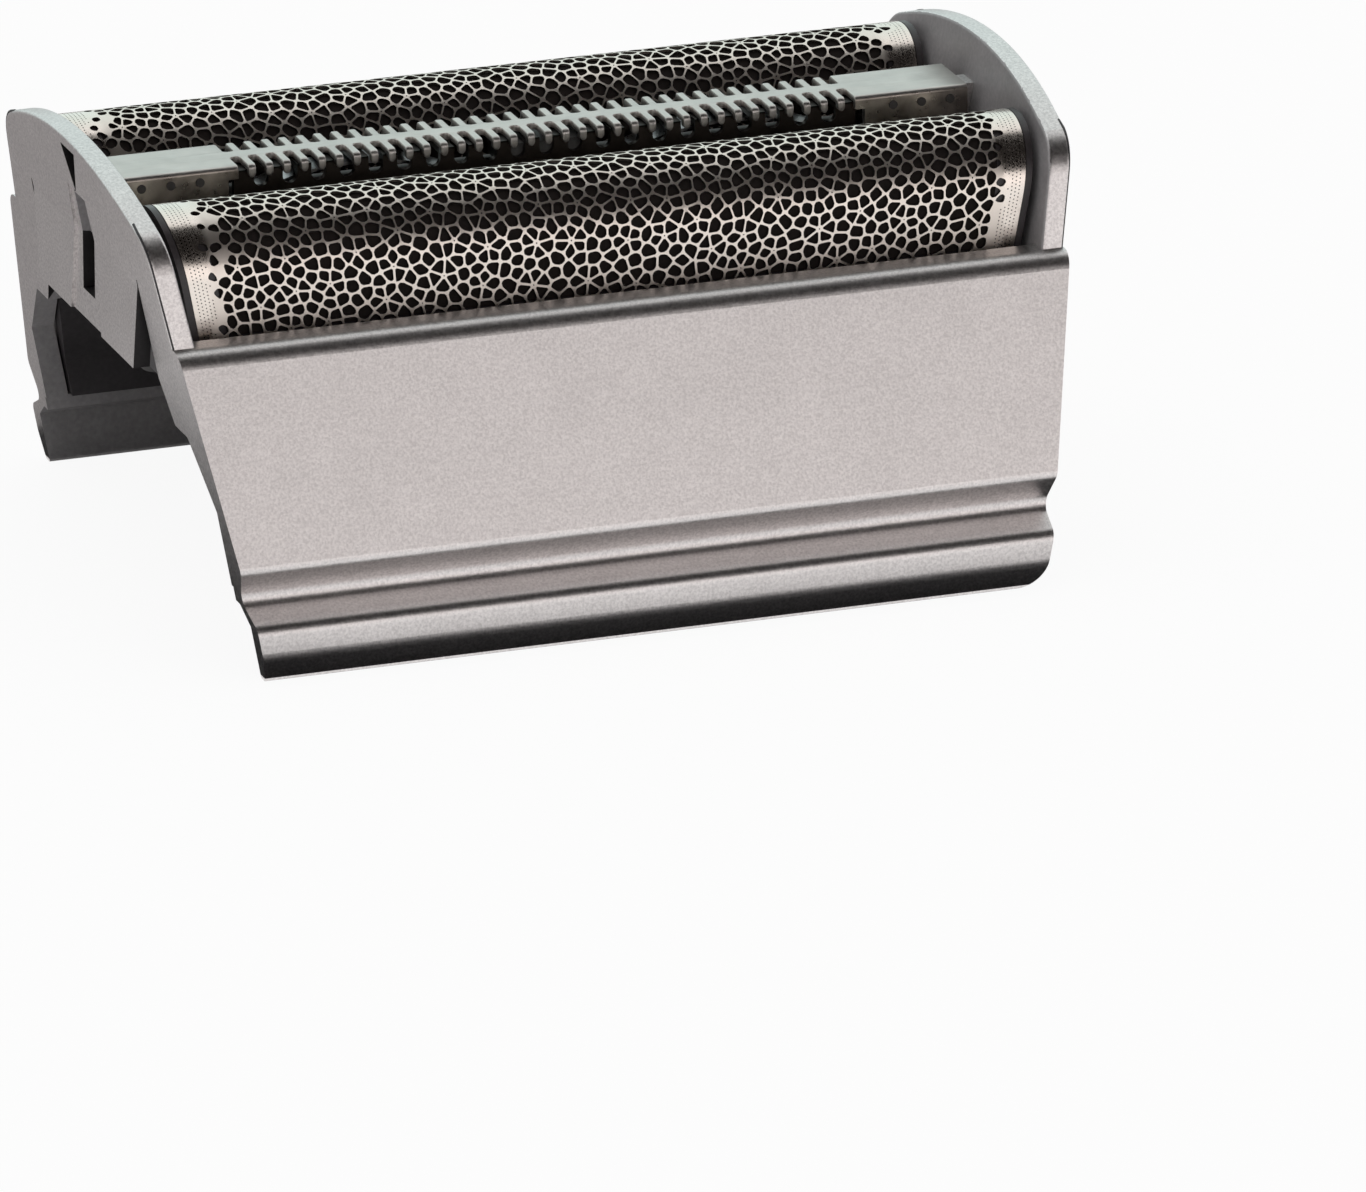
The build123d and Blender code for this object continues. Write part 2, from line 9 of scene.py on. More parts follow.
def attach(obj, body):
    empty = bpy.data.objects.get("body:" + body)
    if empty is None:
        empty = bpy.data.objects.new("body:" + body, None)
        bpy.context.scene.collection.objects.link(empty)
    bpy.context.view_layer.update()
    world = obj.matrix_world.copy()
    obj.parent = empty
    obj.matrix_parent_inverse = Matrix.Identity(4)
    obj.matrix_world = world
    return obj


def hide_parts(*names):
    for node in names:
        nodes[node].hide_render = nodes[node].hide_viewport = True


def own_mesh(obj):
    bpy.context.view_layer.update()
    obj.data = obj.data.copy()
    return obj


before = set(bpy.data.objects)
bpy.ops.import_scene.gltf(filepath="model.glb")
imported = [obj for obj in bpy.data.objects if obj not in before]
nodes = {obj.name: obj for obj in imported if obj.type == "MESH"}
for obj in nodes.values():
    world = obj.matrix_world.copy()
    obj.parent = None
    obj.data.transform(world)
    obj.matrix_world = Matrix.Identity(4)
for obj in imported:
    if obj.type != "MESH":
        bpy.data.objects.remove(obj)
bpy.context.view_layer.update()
mm = 0.001
print("frame loaded:", len(nodes), "nodes")

# main sizes of the head, in millimetres, shared by the pieces below
head = {
    "rollSpan": 52.0,
    "rollHeight": 17.75,
    "endLean": 0.188,
    "archHeight": 25.8,
    "archRadius": 33.0,
    "shoulderHalf": 12.9,
    "shoulderRadius": 2.8,
    "flankHalf": 14.2,
}
# corners closer than this, in metres, become one
weldGap = {"copy": 1e-7, "built": 2e-6}
# most of the fractal noise lies in this range
noiseSpan = (0.3, 0.7)
white = (1.0, 1.0, 1.0)


def endHalf(height, inset=0.0):
    return head["rollSpan"] / 2 + head["endLean"] * (height - head["rollHeight"]) - inset


def addObject(name, data):
    made = bpy.data.objects.new(name, data)
    bpy.context.scene.collection.objects.link(made)
    return made


def newMesh(name, points, faces, edges=()):
    mesh = bpy.data.meshes.new(name)
    mesh.from_pydata(points, edges, faces)
    return mesh


def newMaterial(name):
    material = bpy.data.materials.new(name)
    material.use_nodes = True
    tree = material.node_tree
    shader = tree.nodes["Principled BSDF"]
    coords = tree.nodes.new("ShaderNodeTexCoord")
    return material, tree, shader, coords.outputs["Object"]


def plug(tree, value, socket):
    # a link from another socket, or a plain value
    if isinstance(value, bpy.types.NodeSocket):
        tree.links.new(value, socket)
    else:
        socket.default_value = value


def mathNode(tree, operation, first, second=0.0):
    node = tree.nodes.new("ShaderNodeMath")
    node.operation = operation
    plug(tree, first, node.inputs[0])
    plug(tree, second, node.inputs[1])
    return node.outputs[0]


def axisOf(tree, source, label):
    split = tree.nodes.new("ShaderNodeSeparateXYZ")
    tree.links.new(source, split.inputs[0])
    return split.outputs[label]


def addNoise(tree, coords, size, detail=2.0, stretch=(1, 1, 1), rough=0.5):
    # fractal noise with grains about size millimetres across
    mapping = tree.nodes.new("ShaderNodeMapping")
    mapping.inputs["Scale"].default_value = [1 / (size * mm * part) for part in stretch]
    noise = tree.nodes.new("ShaderNodeTexNoise")
    noise.inputs["Scale"].default_value = 1.0
    noise.inputs["Detail"].default_value = detail
    noise.inputs["Roughness"].default_value = rough
    tree.links.new(coords, mapping.inputs["Vector"])
    tree.links.new(mapping.outputs["Vector"], noise.inputs["Vector"])
    return noise.outputs["Fac"]


def ramp(tree, source, stops):
    node = tree.nodes.new("ShaderNodeValToRGB")
    marks = node.color_ramp.elements
    while len(marks) < len(stops):
        marks.new(0.5)
    for mark, (place, colour) in zip(marks, stops):
        mark.position = place
        mark.color = (*colour, 1.0)
    tree.links.new(source, node.inputs["Fac"])
    return node.outputs["Color"]


def mottle(tree, noise, deep, pale, span=noiseSpan):
    # colour that goes from deep to pale with the noise
    return ramp(tree, noise, [(span[0], deep), (span[1], pale)])


def mapRange(tree, source, given, wanted=(0.0, 1.0)):
    node = tree.nodes.new("ShaderNodeMapRange")
    node.inputs["From Min"].default_value, node.inputs["From Max"].default_value = given
    node.inputs["To Min"].default_value, node.inputs["To Max"].default_value = wanted
    tree.links.new(source, node.inputs["Value"])
    return node.outputs["Result"]


def multiply(tree, first, second):
    node = tree.nodes.new("ShaderNodeMix")
    node.data_type = "RGBA"
    node.blend_type = "MULTIPLY"
    node.inputs["Factor"].default_value = 1.0
    tree.links.new(first, node.inputs["A"])
    tree.links.new(second, node.inputs["B"])
    return node.outputs["Result"]


def addBump(tree, shader, source, depth, strength):
    bump = tree.nodes.new("ShaderNodeBump")
    bump.inputs["Strength"].default_value = strength
    bump.inputs["Distance"].default_value = depth * mm
    tree.links.new(source, bump.inputs["Height"])
    tree.links.new(bump.outputs["Normal"], shader.inputs["Normal"])


flakePaintLook = {
    "pale": (0.835, 0.80, 0.79),
    "deep": (0.59, 0.56, 0.555),
    "flakeSize": 0.16,
    "flakeSpan": (0.36, 0.64),
    "cloudSize": 3.0,
    "cloudShade": (0.95, 0.95, 0.95),
    "metal": 1.0,
    "rough": (0.33, 0.41),
    "bump": 0.012,
    "bumpStrength": 0.6,
}


def makeFlakePaint(look):
    material, tree, shader, coords = newMaterial("flake_paint")
    flakes = addNoise(tree, coords, look["flakeSize"], detail=3.0, rough=0.7)
    clouds = addNoise(tree, coords, look["cloudSize"], detail=2.0)
    colour = mottle(tree, flakes, look["deep"], look["pale"], look["flakeSpan"])
    shade = mottle(tree, clouds, look["cloudShade"], white)
    tree.links.new(multiply(tree, colour, shade), shader.inputs["Base Color"])
    tree.links.new(mapRange(tree, flakes, noiseSpan, look["rough"]), shader.inputs["Roughness"])
    shader.inputs["Metallic"].default_value = look["metal"]
    addBump(tree, shader, flakes, look["bump"], look["bumpStrength"])
    return material


plasticLook = {
    "grain": 0.25,
    "patchGrains": 14,
    "patchShade": (0.8, 0.8, 0.8),
    "bump": 0.01,
    "bumpStrength": 0.6,
}


def makePlastic(name, pale, deep, rough=(0.38, 0.55), gloss=0.5):
    look = plasticLook
    material, tree, shader, coords = newMaterial(name)
    shader.inputs["Specular IOR Level"].default_value = gloss
    texture = addNoise(tree, coords, look["grain"], detail=3.0, rough=0.6)
    patches = addNoise(tree, coords, look["grain"] * look["patchGrains"], detail=2.0)
    colour = mottle(tree, texture, deep, pale)
    shade = mottle(tree, patches, look["patchShade"], white)
    tree.links.new(multiply(tree, colour, shade), shader.inputs["Base Color"])
    tree.links.new(mapRange(tree, patches, noiseSpan, rough), shader.inputs["Roughness"])
    addBump(tree, shader, texture, look["bump"], look["bumpStrength"])
    return material


metalLook = {
    "stainSize": 1.6,
    "bumpStrength": 0.4,
    # the next two set the ramp and colour of the painted shade at a blade's top
    "shadeRamp": 0.1,
    "shadeColour": (0.10, 0.11, 0.10),
    "endStep": 0.2,
}


def paintedShadeFromHeight(tree, coords, height):
    # painted shade: full strength up to this height, nearly black above it, where the blade lies in the
    # comb's shade
    span = ((height - metalLook["shadeRamp"]) * mm, height * mm)
    above = mapRange(tree, axisOf(tree, coords, "Z"), span)
    return ramp(tree, above, [(0.0, white), (1.0, metalLook["shadeColour"])])


def endMask(tree, coords, reach):
    # 0 in the middle of the head's length, 1 beyond this reach
    along = mathNode(tree, "ABSOLUTE", axisOf(tree, coords, "X"))
    step = metalLook["endStep"]
    return mapRange(tree, along, ((reach - step) * mm, (reach + step) * mm))


def makeMetal(
    name, pale, deep, rough, grain=0.12, stretch=(1, 1, 1), bump=0.002, paintedShadeHeight=None, dullWithin=None
):
    material, tree, shader, coords = newMaterial(name)
    lines = addNoise(tree, coords, grain, detail=3.0, stretch=stretch, rough=0.6)
    stains = addNoise(tree, coords, metalLook["stainSize"], detail=3.0)
    colour = mottle(tree, stains, deep, pale)
    if paintedShadeHeight:
        colour = multiply(tree, colour, paintedShadeFromHeight(tree, coords, paintedShadeHeight))
    tree.links.new(colour, shader.inputs["Base Color"])
    polish = mapRange(tree, lines, noiseSpan, rough)
    if dullWithin:
        reach, dull = dullWithin
        blend = tree.nodes.new("ShaderNodeMix")
        blend.inputs["A"].default_value = dull
        tree.links.new(endMask(tree, coords, reach), blend.inputs["Factor"])
        tree.links.new(polish, blend.inputs["B"])
        polish = blend.outputs["Result"]
    tree.links.new(polish, shader.inputs["Roughness"])
    shader.inputs["Metallic"].default_value = 1.0
    addBump(tree, shader, lines, bump, metalLook["bumpStrength"])
    return material


flakePaint = makeFlakePaint(flakePaintLook)
innerBlack = makePlastic("inner_black", (0.075, 0.068, 0.071), (0.055, 0.050, 0.053))
carrierBlack = makePlastic(
    "carrier_black", (0.034, 0.028, 0.029), (0.024, 0.020, 0.021), rough=(0.3, 0.45)
)
stripBlack = makePlastic("strip_black", (0.05, 0.05, 0.05), (0.035, 0.035, 0.035))
holderBlack = makePlastic("holder_black", (0.05, 0.045, 0.043), (0.035, 0.032, 0.03))
driverBlack = makePlastic("driver_black", (0.07, 0.068, 0.065), (0.05, 0.048, 0.046))
foilNickel = makeMetal(
    "foil_nickel", (0.86, 0.79, 0.725), (0.80, 0.725, 0.66), (0.19, 0.28), grain=0.3, dullWithin=(23.1, 0.40)
)
# painted shade: the foil's hole walls and inner face are far darker than nickel, so the holes read dark
shadedFoilEdge = makeMetal("foil_edge", (0.16, 0.14, 0.125), (0.10, 0.088, 0.08), (0.4, 0.55))
shadedFoilInside = makePlastic(
    "foil_inside", (0.030, 0.025, 0.022), (0.018, 0.015, 0.013), rough=(0.6, 0.75)
)
# painted shade: near-black film seen through the foil's holes
holeShadeFilm = makePlastic(
    "painted_hole_shade", (0.016, 0.012, 0.011), (0.010, 0.008, 0.007), rough=(0.7, 0.85), gloss=0.1
)
combSteel = makeMetal(
    "comb_steel", (0.62, 0.59, 0.56), (0.53, 0.51, 0.485), (0.34, 0.46), stretch=(12, 1, 1), bump=0.004
)
combSide = makeMetal(
    "comb_side", (0.60, 0.54, 0.48), (0.20, 0.175, 0.155), (0.25, 0.4), grain=0.4, bump=0.01
)
# blade: steel colour far darker than steel, painted shade for the shade under the comb, nearly black above
# 23.25 mm as more painted shade
shadedBladeSteel = makeMetal(
    "blade_steel", (0.085, 0.070, 0.062), (0.050, 0.042, 0.037), (0.28, 0.42),
    stretch=(8, 1, 1), paintedShadeHeight=23.25,
)
springSteel = makeMetal("spring_steel", (0.55, 0.55, 0.56), (0.45, 0.45, 0.46), (0.25, 0.38))
# bare plastic inside the frame, darker than the paint and also painted shade in recesses; below it
# near-black painted shade for the cut-outs
bareShadedPlastic = makePlastic("bare_shaded_plastic", (0.42, 0.40, 0.405), (0.33, 0.315, 0.32), rough=(0.3, 0.45))
paintedCutShade = makePlastic("painted_cut_shade", (0.022, 0.019, 0.020), (0.014, 0.012, 0.013))
# painted shade: dark line for the dark reflection on the frame's rounded edges
paintedEdgeShade = makePlastic("painted_edge_shade", (0.035, 0.03, 0.032), (0.02, 0.018, 0.02))
print("materials made")

nodeLooks = {
    "inner_frame": innerBlack,
    "front_foil_carrier": carrierBlack,
    "back_foil_carrier": carrierBlack,
    "front_outer_strip": stripBlack,
    "front_inner_strip": stripBlack,
    "back_outer_strip": stripBlack,
    "back_inner_strip": stripBlack,
    "trimmer_blade": shadedBladeSteel,
    "trimmer_holder": holderBlack,
    "trimmer_driver": driverBlack,
    "left_blade_spring": springSteel,
    "right_blade_spring": springSteel,
}


def dress(piece, *looks):
    piece.data.materials.clear()
    for look in looks:
        piece.data.materials.append(look)


for name, look in nodeLooks.items():
    dress(nodes[name], look)


class TreeMaker:
    # a geometry node tree with named inputs
    def __init__(self, name, inputs):
        self.tree = bpy.data.node_groups.new(name, "GeometryNodeTree")
        face = self.tree.interface
        face.new_socket("Geometry", in_out="INPUT", socket_type="NodeSocketGeometry")
        for label, kind in inputs.items():
            face.new_socket(label, in_out="INPUT", socket_type=f"NodeSocket{kind}")
        face.new_socket("Geometry", in_out="OUTPUT", socket_type="NodeSocketGeometry")
        self.start = self.tree.nodes.new("NodeGroupInput")
        self.end = self.tree.nodes.new("NodeGroupOutput")

    def add(self, kind, inputs):
        node = self.tree.nodes.new(kind)
        for key, value in inputs.items():
            plug(self.tree, value, node.inputs[key])
        return node

    def make(self, kind, inputs):
        return self.add(kind, inputs).outputs[0]

    def math(self, operation, first, second=0.0):
        return mathNode(self.tree, operation, first, second)

    def axis(self, kind, label):
        # one axis of every corner's Position or Normal
        source = self.tree.nodes.new(f"GeometryNodeInput{kind}").outputs[0]
        return axisOf(self.tree, source, label)

    def given(self, label):
        return self.start.outputs[label]

    def paint(self, geometry, look, where=True):
        inputs = {"Geometry": geometry, "Selection": where, "Material": look}
        return self.make("GeometryNodeSetMaterial", inputs)

    def join(self, *parts):
        # one mesh from several, with the corners that meet merged
        joined = self.add("GeometryNodeJoinGeometry", {})
        for part in parts:
            self.tree.links.new(part, joined.inputs[0])
        inputs = {"Geometry": joined.outputs[0], "Distance": weldGap["built"]}
        return self.make("GeometryNodeMergeByDistance", inputs)

    def realize(self, geometry):
        return self.make("GeometryNodeRealizeInstances", {"Geometry": geometry})

    def finish(self, geometry):
        self.tree.links.new(geometry, self.end.inputs["Geometry"])
        return self.tree


def keepPiece(name, mesh, sharpAngle=40):
    mesh.name = name
    mesh.shade_smooth()
    mesh.set_sharp_from_angle(angle=math.radians(sharpAngle))
    return addObject(name, mesh)


def runTree(name, mesh, tree, values):
    # evaluate the tree on a mesh and keep the result as a plain piece
    source = addObject(name + "_source", mesh)
    modifier = source.modifiers.new("shape", "NODES")
    modifier.node_group = tree
    for item in tree.interface.items_tree:
        if item.item_type == "SOCKET" and item.in_out == "INPUT" and item.name in values:
            modifier[item.identifier] = values[item.name]
    depsgraph = bpy.context.evaluated_depsgraph_get()
    made = bpy.data.meshes.new_from_object(source.evaluated_get(depsgraph), depsgraph=depsgraph)
    bpy.data.objects.remove(source)
    return keepPiece(name, made)


foilSize = {
    "radius": 3.7,
    "axisHeight": 20.35,
    "foot": 15.9,
    "sheet": 0.15,
    "offset": 8.5,
    "endInset": 2.15,
    "margin": 2,
    "starDarts": 30000,
    "starSpacing": 1.9,
    "starSpokes": (5, 5, 6),
    "starRadius": (0.52, 0.58),
    "fiveShare": 0.9,
    "starClear": 0.2,
    "starPin": 0.045,
    "starPinShare": 0.4,
    "starReach": 0.03,
    "fillDarts": 60000,
    "fillSpacing": 0.63,
    "relaxRounds": 3,
    "cellReach": 3,
    "web": 0.125,
    "corner": 0.10,
    "cornerShare": 0.36,
    "plainEnd": 1.2,
    "raggedEnd": 0.4,
    "plainFoot": 0.9,
    "gridMargin": 3,
    "gridColumns": 10,
    "gridClear": 0.5,
    "pinRow": 0.21,
    "pinColumn": 0.225,
    "pinRadius": 0.042,
    "pinSides": 6,
    "pinColumns": 5,
    "pinInset": 0.30,
    "binStep": 1.0,
}
# smallest lengths and areas that count when cells are cut, in millimetres
fine = {
    "point": 1e-7,
    "area": 1e-9,
    "edge": 1e-6,
    "corner": 0.015,
    "cornerBin": 0.05,
    "hole": 0.02,
    "digits": 3,
}


class Crowd:
    # points kept in square bins, to find near neighbours quickly
    def __init__(self, step):
        self.step = step
        self.bins = {}

    def bin(self, point):
        return int(point[0] // self.step), int(point[1] // self.step)

    def add(self, point):
        self.bins.setdefault(self.bin(point), []).append(point)

    def near(self, point, spacing):
        column, row = self.bin(point)
        for i in range(column - 1, column + 2):
            for j in range(row - 1, row + 2):
                for other in self.bins.get((i, j), ()):
                    if math.dist(other, point) < spacing:
                        return other
        return None


def scatterSeeds(size, halfLong, halfArc, draw):
    # stars of equal cells round a node, with single cells between them
    margin = size["margin"]
    reachX, reachS = halfLong + margin, halfArc + margin
    stars, rings, fill = [], [], []
    starCrowd, cellCrowd = Crowd(size["starSpacing"]), Crowd(size["starSpacing"])

    def dart():
        return draw.uniform(-reachX, reachX), draw.uniform(-reachS, reachS)

    for thrown in range(size["starDarts"]):
        point = dart()
        if not starCrowd.near(point, size["starSpacing"]):
            starCrowd.add(point)
            stars.append(point)
    for star in stars:
        spokes = draw.choice(size["starSpokes"])
        radius = draw.uniform(*size["starRadius"]) * (size["fiveShare"] if spokes == 5 else 1.0)
        turn = draw.uniform(0, math.tau)
        for spoke in range(spokes):
            angle = turn + math.tau * spoke / spokes
            point = (star[0] + radius * math.cos(angle), star[1] + radius * math.sin(angle))
            rings.append(point)
            cellCrowd.add(point)
    starEdge = size["starRadius"][1] + size["starClear"]
    for thrown in range(size["fillDarts"]):
        point = dart()
        if not starCrowd.near(point, starEdge) and not cellCrowd.near(point, size["fillSpacing"]):
            fill.append(point)
            cellCrowd.add(point)
    # even out the single cells
    freeX, freeS = reachX - margin / 2, reachS - margin / 2
    for relaxed in range(size["relaxRounds"]):
        outlines = voronoiCells(rings + fill)
        for index in range(len(fill)):
            outline = outlines.get(len(rings) + index)
            if outline and abs(fill[index][0]) < freeX and abs(fill[index][1]) < freeS:
                fill[index] = middleOf(outline)
    return stars, rings + fill


def middleOf(polygon):
    # centre of area
    total = sumX = sumY = 0.0
    for a, b in zip(polygon, polygon[1:] + polygon[:1]):
        cross = a[0] * b[1] - b[0] * a[1]
        total += cross
        sumX += (a[0] + b[0]) * cross
        sumY += (a[1] + b[1]) * cross
    return sumX / (3 * total), sumY / (3 * total)


def between(a, b, share):
    return a[0] + (b[0] - a[0]) * share, a[1] + (b[1] - a[1]) * share


def clipConvex(polygon, point, normal):
    # keep the part of a convex polygon on the side that the normal points to
    kept = []
    count = len(polygon)
    for index in range(count):
        a, b = polygon[index], polygon[(index + 1) % count]
        da = (a[0] - point[0]) * normal[0] + (a[1] - point[1]) * normal[1]
        db = (b[0] - point[0]) * normal[0] + (b[1] - point[1]) * normal[1]
        if da >= 0:
            kept.append(a)
        if (da > 0 > db) or (da < 0 < db):
            kept.append(between(a, b, da / (da - db)))
    return kept


def voronoiCells(seeds):
    # ordered cell outline round every seed, by the seed's number
    made = delaunay_2d_cdt([Vector(seed) for seed in seeds], [], [], 0, fine["point"])
    points, faces, origins = made[0], made[2], made[3]
    corners = Crowd(fine["cornerBin"])
    around = {}
    for face in faces:
        a, b, c = (points[index] for index in face)
        d = 2 * (a.x * (b.y - c.y) + b.x * (c.y - a.y) + c.x * (a.y - b.y))
        if abs(d) < fine["area"]:
            continue
        aa, bb, cc = a.length_squared, b.length_squared, c.length_squared
        corner = (
            (aa * (b.y - c.y) + bb * (c.y - a.y) + cc * (a.y - b.y)) / d,
            (aa * (c.x - b.x) + bb * (a.x - c.x) + cc * (b.x - a.x)) / d,
        )
        shared = corners.near(corner, fine["corner"])
        if shared is None:
            corners.add(corner)
            shared = corner
        for index in face:
            ring = around.setdefault(origins[index][0], [])
            if shared not in ring:
                ring.append(shared)
    for index, ring in around.items():
        seed = seeds[index]
        ring.sort(key=lambda corner: math.atan2(corner[1] - seed[1], corner[0] - seed[0]))
    return around


def tidyOutline(polygon, least):
    # drop corners that nearly coincide
    kept = []
    for corner in polygon:
        if not kept or math.dist(corner, kept[-1]) > least:
            kept.append(corner)
    while len(kept) > 1 and math.dist(kept[0], kept[-1]) <= least:
        kept.pop()
    return kept


def insetOutline(polygon, distance):
    inner = polygon
    count = len(polygon)
    for index in range(count):
        a, b = polygon[index], polygon[(index + 1) % count]
        length = math.dist(a, b)
        if length < fine["edge"]:
            continue
        normal = (-(b[1] - a[1]) / length, (b[0] - a[0]) / length)
        start = (a[0] + normal[0] * distance, a[1] + normal[1] * distance)
        inner = clipConvex(inner, start, normal)
        if len(inner) < 3:
            return []
    return tidyOutline(inner, fine["hole"])


def pulledBack(polygon, index, radius, limit):
    # the points beside a corner on both its edges, at most this share of an edge away
    corner = polygon[index]
    points = []
    for other in (polygon[index - 1], polygon[(index + 1) % len(polygon)]):
        points.append(between(corner, other, min(radius / math.dist(corner, other), limit)))
    return points


def roundOutline(polygon, size):
    softened = []
    for index in range(len(polygon)):
        softened += pulledBack(polygon, index, size["corner"], size["cornerShare"])
    return softened


def pinNode(outline, starCrowd, size):
    # cut the corner at a star's node, so that the cells round it leave a pinhole
    cut = []
    for index, corner in enumerate(outline):
        if starCrowd.near(corner, size["starReach"]):
            cut += pulledBack(outline, index, size["starPin"], size["starPinShare"])
        else:
            cut.append(corner)
    return cut


def pinHole(middle, size):
    turns = [math.tau * k / size["pinSides"] for k in range(size["pinSides"])]
    radius = size["pinRadius"]
    return [(middle[0] + radius * math.cos(t), middle[1] + radius * math.sin(t)) for t in turns]


class FlatSheet:
    # flat mesh with shared corners, in millimetres
    def __init__(self):
        self.points = []
        self.faces = []
        self.known = {}

    def corner(self, point):
        key = (round(point[0], fine["digits"]), round(point[1], fine["digits"]))
        if key not in self.known:
            self.known[key] = len(self.points)
            self.points.append(point)
        return self.known[key]

    def face(self, corners):
        ids = []
        for corner in corners:
            number = self.corner(corner)
            if number not in ids:
                ids.append(number)
        if len(ids) >= 3:
            self.faces.append(ids)

    def ring(self, outer, inner):
        # fill between a cell's outline and its hole, both turning the same way round the hole's middle
        middle = (sum(p[0] for p in inner) / len(inner), sum(p[1] for p in inner) / len(inner))

        def turned(polygon):
            angles = [math.atan2(p[1] - middle[1], p[0] - middle[0]) for p in polygon]
            first = angles.index(min(angles))
            order = [polygon[(first + i) % len(polygon)] for i in range(len(polygon))]
            return order, sorted(angles)

        outs, outAngles = turned(outer)
        ins, inAngles = turned(inner)
        i = j = 0
        while i < len(outs) or j < len(ins):
            nextOut = outAngles[i + 1] if i + 1 < len(outs) else outAngles[0] + math.tau
            nextIn = inAngles[j + 1] if j + 1 < len(ins) else inAngles[0] + math.tau
            here, hole = outs[i % len(outs)], ins[j % len(ins)]
            if j >= len(ins) or (i < len(outs) and nextOut <= nextIn):
                self.face([here, outs[(i + 1) % len(outs)], hole])
                i += 1
            else:
                self.face([here, ins[(j + 1) % len(ins)], hole])
                j += 1


def sortCells(size, halfLong, halfArc, seeds, draw):
    # open cells over the middle, a fine grid with pinholes at both ends, plain cells elsewhere
    openReach, openArc = halfLong - size["plainEnd"], halfArc - size["plainFoot"]
    cells = []
    openCrowd = Crowd(size["binStep"])
    for point in seeds:
        ragged = draw.uniform(-size["raggedEnd"], size["raggedEnd"])
        if abs(point[0]) < openReach + ragged and abs(point[1]) < openArc:
            cells.append((point, "open"))
            openCrowd.add(point)
    gridStart = halfLong - size["pinInset"]
    gridEnd = gridStart - (size["gridColumns"] - 1) * size["pinColumn"]
    rows = int(halfArc / size["pinRow"]) + size["gridMargin"]
    for side in (-1, 1):
        for column in range(-size["gridMargin"], size["gridColumns"]):
            for row in range(-rows, rows + 1):
                x = side * (gridStart - column * size["pinColumn"])
                s = (row + (column % 2) / 2) * size["pinRow"]
                if not openCrowd.near((x, s), size["gridClear"]):
                    holed = 0 <= column < size["pinColumns"] and abs(s) < openArc
                    cells.append(((x, s), "pin" if holed else "plain"))
    for point in seeds:
        if abs(point[0]) < gridEnd and abs(point[1]) >= openArc:
            cells.append((point, "plain"))
    return cells


def perforatedSheet(size, seed):
    # flat foil: its length runs from -1 to 1 along X, its arc in metres along Y
    draw = random.Random(seed)
    halfArc = size["radius"] * math.pi / 2 + size["axisHeight"] - size["foot"]
    halfLong = endHalf(size["axisHeight"], size["endInset"])
    stars, seeds = scatterSeeds(size, halfLong, halfArc, draw)
    cells = sortCells(size, halfLong, halfArc, seeds, draw)
    starCrowd = Crowd(size["binStep"])
    for star in stars:
        starCrowd.add(star)
    borders = (
        ((-halfLong, 0), (1, 0)),
        ((halfLong, 0), (-1, 0)),
        ((0, -halfArc), (0, 1)),
        ((0, halfArc), (0, -1)),
    )
    outlines = voronoiCells([point for point, kind in cells])
    sheet = FlatSheet()
    holes = 0
    for index, (point, kind) in enumerate(cells):
        outline = outlines.get(index, [])
        if len(outline) < 3 or max(math.dist(point, corner) for corner in outline) > size["cellReach"]:
            continue
        for place, normal in borders:
            outline = clipConvex(outline, place, normal)
        if len(outline) < 3:
            continue
        hole = []
        if kind == "open":
            hole = roundOutline(insetOutline(outline, size["web"] / 2), size)
            outline = pinNode(outline, starCrowd, size)
        elif kind == "pin":
            hole = pinHole(point, size)
        if len(hole) >= 3:
            sheet.ring(outline, hole)
            holes += 1
        else:
            sheet.face(outline)
    print("sheet with", holes, "holes")
    return newMesh("flat_foil", [(x / halfLong, s * mm, 0) for x, s in sheet.points], sheet.faces)


def makeWrapTree():
    # bend the flat foil over its arch, lean its ends and give it a thickness
    maker = TreeMaker("wrap_foil", {
        "Radius": "Float", "Sheet": "Float", "Axis height": "Float", "Side offset": "Float",
        "End half": "Float", "End lean": "Float", "Lean height": "Float",
        "Outer face": "Material", "Hole wall": "Material", "Inner face": "Material",
    })
    calc, given = maker.math, maker.given
    along, across = maker.axis("Position", "X"), maker.axis("Position", "Y")
    inner = calc("SUBTRACT", given("Radius"), given("Sheet"))
    angle = calc("DIVIDE", across, given("Radius"))
    angle = calc("MAXIMUM", calc("MINIMUM", angle, math.pi / 2), -math.pi / 2)
    past = calc("SUBTRACT", across, calc("MULTIPLY", angle, given("Radius")))
    y = calc("ADD", calc("MULTIPLY", calc("SINE", angle), inner), given("Side offset"))
    z = calc("ADD", calc("MULTIPLY", calc("COSINE", angle), inner), given("Axis height"))
    z = calc("SUBTRACT", z, calc("ABSOLUTE", past))
    rise = calc("SUBTRACT", z, given("Lean height"))
    half = calc("ADD", calc("MULTIPLY", rise, given("End lean")), given("End half"))
    x = calc("MULTIPLY", along, half)
    spot = maker.make("ShaderNodeCombineXYZ", {"X": x, "Y": y, "Z": z})
    bent = maker.make("GeometryNodeSetPosition", {
        "Geometry": given("Geometry"), "Position": spot,
    })
    raised = maker.add("GeometryNodeExtrudeMesh", {
        "Mesh": bent, "Offset Scale": given("Sheet"), "Individual": False,
    })
    walls = maker.paint(raised.outputs["Mesh"], given("Hole wall"), raised.outputs["Side"])
    back = maker.make("GeometryNodeFlipFaces", {"Mesh": bent})
    back = maker.paint(back, given("Inner face"))
    whole = maker.realize(maker.join(walls, back))
    return maker.finish(maker.paint(whole, given("Outer face"), raised.outputs["Top"]))


